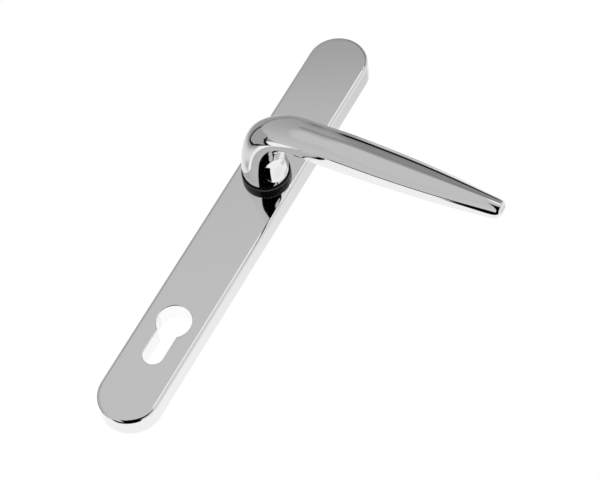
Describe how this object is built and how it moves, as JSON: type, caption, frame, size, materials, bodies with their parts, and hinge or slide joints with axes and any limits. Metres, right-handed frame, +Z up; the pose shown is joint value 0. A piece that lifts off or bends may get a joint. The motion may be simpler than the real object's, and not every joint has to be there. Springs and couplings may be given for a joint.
{
  "type": "lever handle",
  "caption": "Chrome lever handle on a long narrow backplate with a profile cylinder cut-out, sprung inside and fixed from behind.",
  "frame": {"origin": "where the spindle axis crosses the flat rear plane of the backplate, which lies on the door's face", "axes": "+Z up along the backplate, +X along the lever at rest, -Y out of the door towards the hand"},
  "size_m": [0.145, 0.0675, 0.24],
  "materials": {
    "chrome_plating": "polished chrome on a zinc casting",
    "black_nylon": "satin moulded black nylon",
    "white_acetal": "plain moulded white acetal",
    "spring_steel": "bright drawn spring steel",
    "dark_spring_steel": "phosphated spring steel",
    "cast_zinc": "bare tumbled zinc casting",
    "zinc_plated_steel": "bright zinc plated pressed steel"
  },
  "bodies": {
    "plate": {"backplate": "chrome_plating", "neck_bush": "black_nylon", "thrust_washer": "white_acetal", "return_spring": "spring_steel", "spring_cover": "zinc_plated_steel", "cover_screws": "zinc_plated_steel"},
    "lever": {"lever": "chrome_plating", "spring_driver": "cast_zinc", "spring_washer": "spring_steel", "circlip": "dark_spring_steel"}
  },
  "joints": [
    {"name": "lever_turn", "type": "hinge", "parent": "plate", "child": "lever", "pos_m": [0, 0, 0], "axis": [0, 1, 0], "range_deg": [-45, 45], "stiffness_Nm_per_rad": 1.2, "springref_deg": -4.87, "deforming": ["return_spring"]}
  ]
}
